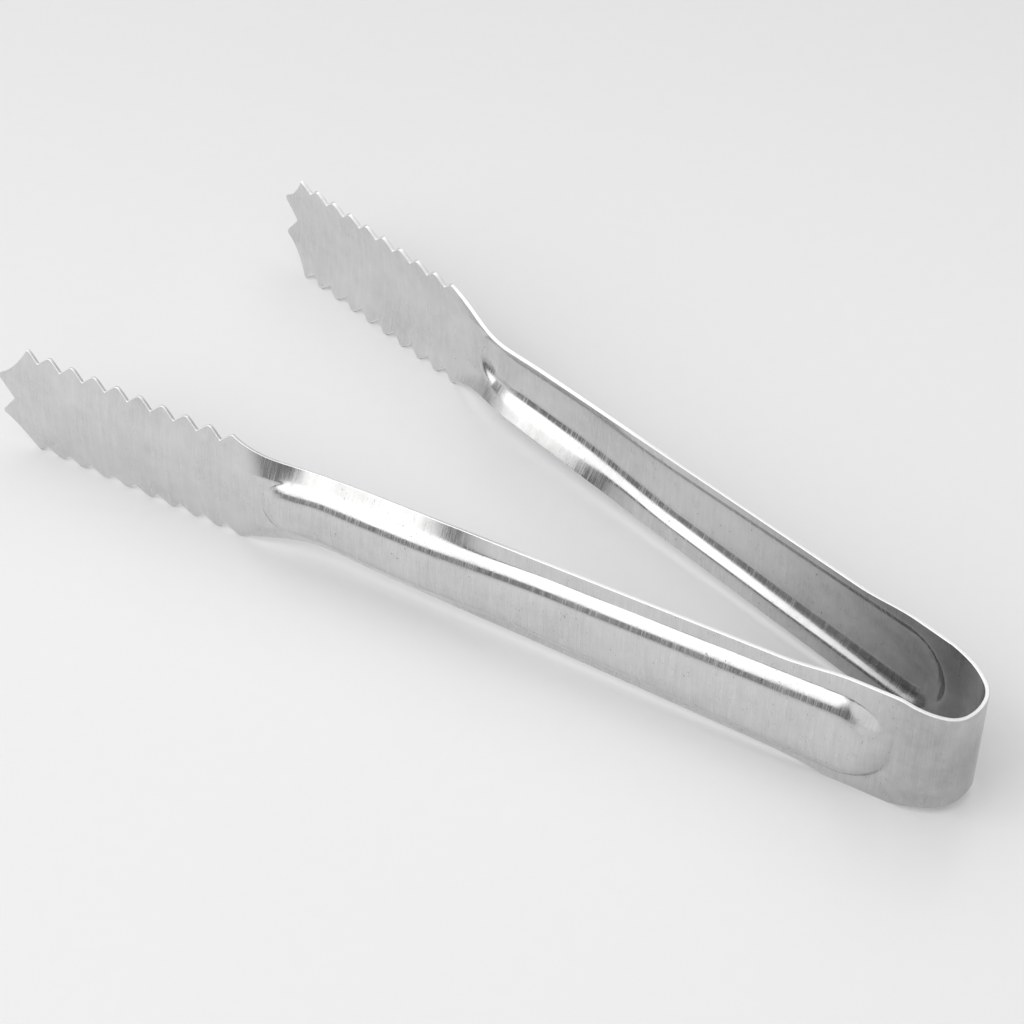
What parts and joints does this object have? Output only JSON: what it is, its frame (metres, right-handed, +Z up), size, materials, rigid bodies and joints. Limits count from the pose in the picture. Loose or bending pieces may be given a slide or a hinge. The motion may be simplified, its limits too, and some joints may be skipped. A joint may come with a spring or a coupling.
{
  "type": "ice tongs",
  "caption": "Spring tongs of thin stainless sheet with a rounded bow, embossed handles and dished, toothed jaws for picking up ice.",
  "frame": {"origin": "middle of the overall box, on the table under the tongs as they lie on the side edges of their strip", "axes": "+X towards the bow along the length, +Y towards the right arm, +Z up across the width of the strip"},
  "size_m": [0.18, 0.0746, 0.0224],
  "materials": {
    "bow_crown": "satin",
    "left_shoulder": "satin",
    "left_handle": "brushed across the arm",
    "left_jaw": "satin",
    "right_shoulder": "satin",
    "right_handle": "brushed across the arm",
    "right_jaw": "satin"
  },
  "bodies": {
    "bow": {"bow_crown": "bow_crown"},
    "left_arm": {"left_shoulder": "left_shoulder", "left_handle": "left_handle", "left_jaw": "left_jaw"},
    "right_arm": {"right_shoulder": "right_shoulder", "right_handle": "right_handle", "right_jaw": "right_jaw"}
  },
  "joints": [
    {"name": "left_arm_flex", "type": "hinge", "parent": "bow", "child": "left_arm", "pos_m": [0.08736, -0.00531, 0.0112], "axis": [0, 0, -1], "range_deg": [-2, 11], "stiffness_Nm_per_rad": 5.5},
    {"name": "right_arm_flex", "type": "hinge", "parent": "bow", "child": "right_arm", "pos_m": [0.08736, 0.00531, 0.0112], "axis": [0, 0, 1], "range_deg": [-2, 11], "stiffness_Nm_per_rad": 5.5}
  ],
  "couplings": [
    {"joint": "right_arm_flex", "follows": "left_arm_flex", "ratio": 1}
  ]
}
